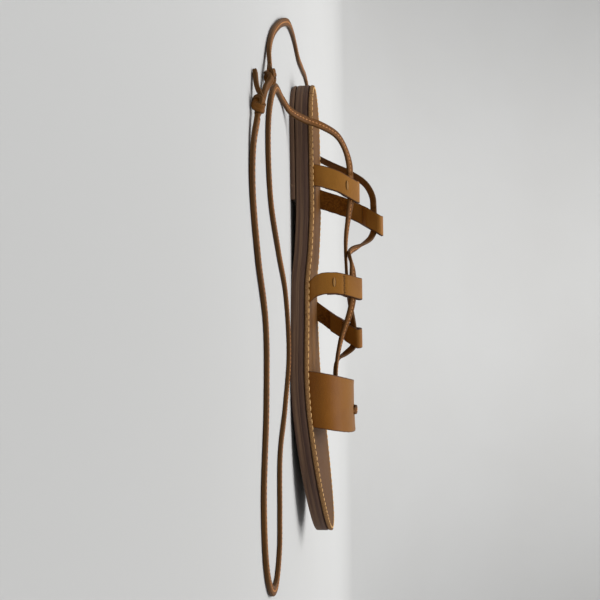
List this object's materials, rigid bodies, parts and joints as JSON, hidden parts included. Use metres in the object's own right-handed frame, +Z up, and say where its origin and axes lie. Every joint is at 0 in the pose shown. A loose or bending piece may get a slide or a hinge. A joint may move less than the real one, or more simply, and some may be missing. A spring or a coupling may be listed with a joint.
{
  "type": "gladiator sandal",
  "caption": "Open flat leather sandal with a toe band, loop tabs beside the foot and one long flat lace.",
  "frame": {"origin": "on the floor under the middle of the sole's length and width", "axes": "+Z up, +Y towards the toe, +X to the wearer's right, the outer (lateral) side of this right sandal"},
  "size_m": [0.2866, 0.2905, 0.0511],
  "materials": {
    "sole_leather": "matt brown stacked leather edge, streaked along its layers",
    "insole_leather": "matt natural tan leather with a rough pale edge",
    "band_leather": "smooth tan leather, slightly satin",
    "tab_leather": "smooth caramel leather, suede inside",
    "lace_leather": "flat folded leather lace, brown caramel, with a line of stitches along its face"
  },
  "bodies": {
    "root": {"outsole": "sole_leather", "heel_lift": "sole_leather", "insole": "insole_leather", "toe_band": "band_leather", "tab_heel_lateral": "tab_leather", "tab_heel_medial": "tab_leather", "tab_mid_lateral": "tab_leather", "tab_mid_medial": "tab_leather", "lace_crossing": "lace_leather", "lace_end_lateral": "lace_leather", "lace_end_medial": "lace_leather", "lace_knot_lateral": "lace_leather", "lace_knot_medial": "lace_leather"}
  },
  "joints": []
}
